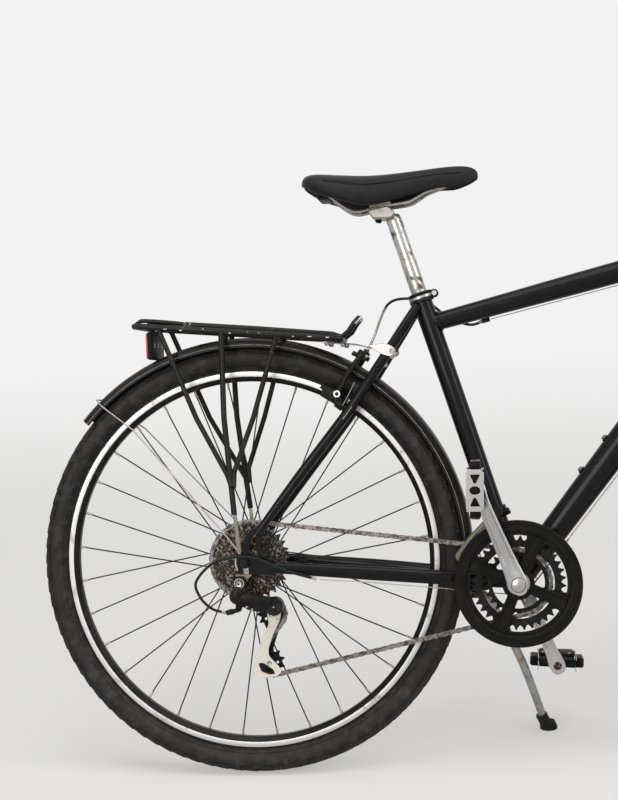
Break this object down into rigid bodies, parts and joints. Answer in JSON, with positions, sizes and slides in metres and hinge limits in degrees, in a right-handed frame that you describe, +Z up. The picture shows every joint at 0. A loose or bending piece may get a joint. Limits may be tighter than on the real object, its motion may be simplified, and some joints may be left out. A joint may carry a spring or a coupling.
{
  "type": "hybrid bicycle",
  "caption": "Hybrid bicycle with suspension fork, rear rack, fenders and side stand; wheels, cranks, pedals, steering, brakes, shifters, seat and stand move",
  "frame": {"origin": "centre of the overall box, on the ground", "axes": "+X towards the front wheel, +Y to the rider's left, +Z up; the bike leans to its left on its stand"},
  "size_m": [1.7903, 0.6042, 1.0528],
  "materials": {
    "black_paint": "gloss black paint",
    "black_plastic": "matt black moulded plastic",
    "black_metal": "black anodised or painted metal",
    "tyre_rubber": "worn black tyre rubber",
    "soft_rubber": "matt black rubber",
    "silver": "satin silver",
    "steel": "plated steel",
    "rusty_steel": "steel with brown rust",
    "pale_plastic": "pale, slightly dirty",
    "red_lens": "clear red lens",
    "saddle_cover": "smooth black cover"
  },
  "bodies": {
    "root": {"frame": "black_paint", "seat_clamp": "black_metal", "bottom_bracket_cartridge": "steel", "rear_axle": "steel", "rack": "black_paint", "rack_struts": "silver", "rear_fender": "black_plastic", "rear_fender_stay": "silver", "rear_reflector": "red_lens", "front_derailleur": "silver", "rear_derailleur_body": "black_metal", "rear_derailleur_cage": "pale_plastic", "chain": "rusty_steel", "rear_brake_cable": "soft_rubber", "shift_cables": "black_plastic"},
    "rear_wheel": {"rear_tyre": "tyre_rubber", "rear_rim": "black_metal", "rear_hub_and_spokes": "black_metal"},
    "cassette": {"cassette": "rusty_steel"},
    "guide_pulley": {"guide_pulley": "black_plastic"},
    "tension_pulley": {"tension_pulley": "black_plastic"},
    "crankset": {"right_crank_arm": "silver", "left_crank_arm": "silver", "small_chainring": "steel", "middle_chainring": "rusty_steel", "big_chainring": "black_metal", "chain_guard": "black_plastic"},
    "right_pedal": {"right_pedal": "black_plastic"},
    "left_pedal": {"left_pedal": "black_plastic"},
    "seat": {"seat_post": "silver", "saddle_rails": "silver", "saddle": "saddle_cover"},
    "kickstand": {"kickstand_leg": "silver", "kickstand_foot": "soft_rubber"},
    "rack_clip": {"rack_spring_clip": "black_paint"},
    "rear_brake_arm_left": {"rear_brake_arm_left": "black_metal"},
    "rear_brake_arm_right": {"rear_brake_arm_right": "black_metal"},
    "steering": {"fork_crown": "black_metal", "stem": "black_metal", "handlebar": "black_metal", "right_grip": "soft_rubber", "left_grip": "soft_rubber", "right_lever_perch": "black_metal", "left_lever_perch": "black_metal", "front_brake_cable": "soft_rubber", "rear_brake_loop": "soft_rubber", "right_shift_loop": "soft_rubber", "left_shift_loop": "soft_rubber"},
    "lowers": {"fork_lowers": "black_paint", "front_axle": "steel", "front_fender": "black_plastic"},
    "front_wheel": {"front_tyre": "tyre_rubber", "front_rim": "black_metal", "front_hub_and_spokes": "black_metal"},
    "front_brake_arm_left": {"front_brake_arm_left": "black_metal"},
    "front_brake_arm_right": {"front_brake_arm_right": "black_metal"},
    "right_brake_lever": {"right_brake_lever": "black_metal"},
    "left_brake_lever": {"left_brake_lever": "black_metal"},
    "right_shift_trigger": {"right_shift_trigger": "black_plastic"},
    "left_shift_trigger": {"left_shift_trigger": "black_plastic"}
  },
  "joints": [
    {"name": "rear_wheel_spin", "type": "hinge", "parent": "root", "child": "rear_wheel", "pos_m": [-0.5385, -0.10819, 0.35316], "axis": [0, 0.9857, -0.1685], "continuous": true},
    {"name": "crank_spin", "type": "hinge", "parent": "root", "child": "crankset", "pos_m": [-0.09738, -0.11608, 0.30703], "axis": [0, 0.9857, -0.1685], "range_deg": [-285, 2]},
    {"name": "cassette_spin", "type": "hinge", "parent": "root", "child": "cassette", "pos_m": [-0.5385, -0.10819, 0.35316], "axis": [0, 0.9857, -0.1685], "range_deg": [-233.56, 3.62]},
    {"name": "guide_pulley_spin", "type": "hinge", "parent": "root", "child": "guide_pulley", "pos_m": [-0.5045, -0.12336, 0.26445], "axis": [0, 0.9857, -0.1685], "range_deg": [-7.73, 676.64]},
    {"name": "tension_pulley_spin", "type": "hinge", "parent": "root", "child": "tension_pulley", "pos_m": [-0.5115, -0.13684, 0.18559], "axis": [0, 0.9857, -0.1685], "range_deg": [-676.64, 7.73]},
    {"name": "right_pedal_spin", "type": "hinge", "parent": "crankset", "child": "right_pedal", "pos_m": [-0.15747, -0.08929, 0.46378], "axis": [0, 0.9857, -0.1685], "continuous": true},
    {"name": "left_pedal_spin", "type": "hinge", "parent": "crankset", "child": "left_pedal", "pos_m": [-0.03728, -0.14287, 0.15028], "axis": [0, 0.9857, -0.1685], "continuous": true},
    {"name": "seat_height", "type": "slide", "parent": "root", "child": "seat", "axis": [-0.284, 0.1616, 0.9451], "range_m": [-0.1, 0.1]},
    {"name": "kickstand_fold", "type": "hinge", "parent": "root", "child": "kickstand", "pos_m": [-0.1665, -0.0858, 0.28238], "axis": [-0.2071, 0.9643, -0.1648], "range_deg": [0, 110]},
    {"name": "rack_clip_lift", "type": "hinge", "parent": "root", "child": "rack_clip", "pos_m": [-0.62506, -0.04136, 0.74417], "axis": [0, -0.9857, 0.1685], "range_deg": [0, 60], "stiffness_Nm_per_rad": 1.2, "springref_deg": -17.19},
    {"name": "rear_brake_left", "type": "hinge", "parent": "root", "child": "rear_brake_arm_left", "pos_m": [-0.3605, -0.02803, 0.58475], "axis": [0.7726, -0.107, -0.6258], "range_deg": [0, 4]},
    {"name": "rear_brake_right", "type": "hinge", "parent": "root", "child": "rear_brake_arm_right", "pos_m": [-0.3605, -0.10688, 0.59823], "axis": [-0.7726, 0.107, 0.6258], "range_deg": [0, 4]},
    {"name": "steering_turn", "type": "hinge", "parent": "root", "child": "steering", "pos_m": [0.34364, -0.03613, 0.77475], "axis": [-0.3256, 0.1593, 0.932], "range_deg": [-55, 55], "deforming": ["rear_brake_loop", "right_shift_loop", "left_shift_loop"]},
    {"name": "fork_travel", "type": "slide", "parent": "steering", "child": "lowers", "axis": [-0.3256, 0.1593, 0.932], "range_m": [0, 0.05], "stiffness_N_per_m": 6000, "springref_m": -0.015, "deforming": ["front_brake_cable"]},
    {"name": "front_wheel_spin", "type": "hinge", "parent": "lowers", "child": "front_wheel", "pos_m": [0.5385, -0.10819, 0.35316], "axis": [0, 0.9857, -0.1685], "continuous": true},
    {"name": "front_brake_left", "type": "hinge", "parent": "lowers", "child": "front_brake_arm_left", "pos_m": [0.40466, -0.01656, 0.61032], "axis": [0.9455, 0.0549, 0.3209], "range_deg": [0, 4]},
    {"name": "front_brake_right", "type": "hinge", "parent": "lowers", "child": "front_brake_arm_right", "pos_m": [0.40466, -0.10921, 0.62615], "axis": [-0.9455, -0.0549, -0.3209], "range_deg": [0, 4]},
    {"name": "right_brake_squeeze", "type": "hinge", "parent": "steering", "child": "right_brake_lever", "pos_m": [0.39397, -0.14632, 1.02039], "axis": [0.3256, -0.1593, -0.932], "range_deg": [0, 16], "stiffness_Nm_per_rad": 0.3, "springref_deg": -22.92},
    {"name": "right_shift_press", "type": "hinge", "parent": "steering", "child": "right_shift_trigger", "pos_m": [0.38184, -0.12316, 0.98967], "axis": [-0.3256, 0.1593, 0.932], "range_deg": [0, 20], "stiffness_Nm_per_rad": 0.05, "springref_deg": -17.19},
    {"name": "left_brake_squeeze", "type": "hinge", "parent": "steering", "child": "left_brake_lever", "pos_m": [0.39397, 0.14939, 0.96985], "axis": [-0.3256, 0.1593, 0.932], "range_deg": [0, 16], "stiffness_Nm_per_rad": 0.3, "springref_deg": -22.92},
    {"name": "left_shift_press", "type": "hinge", "parent": "steering", "child": "left_shift_trigger", "pos_m": [0.38184, 0.11735, 0.94856], "axis": [0.3256, -0.1593, -0.932], "range_deg": [0, 20], "stiffness_Nm_per_rad": 0.05, "springref_deg": -17.19}
  ],
  "couplings": [
    {"joint": "cassette_spin", "follows": "crank_spin", "ratio": 0.8125},
    {"joint": "guide_pulley_spin", "follows": "crank_spin", "ratio": -2.3636},
    {"joint": "tension_pulley_spin", "follows": "crank_spin", "ratio": 2.3636},
    {"joint": "rear_brake_left", "follows": "right_brake_squeeze", "ratio": 0.25},
    {"joint": "rear_brake_right", "follows": "right_brake_squeeze", "ratio": 0.25},
    {"joint": "front_brake_left", "follows": "left_brake_squeeze", "ratio": 0.25},
    {"joint": "front_brake_right", "follows": "left_brake_squeeze", "ratio": 0.25}
  ]
}
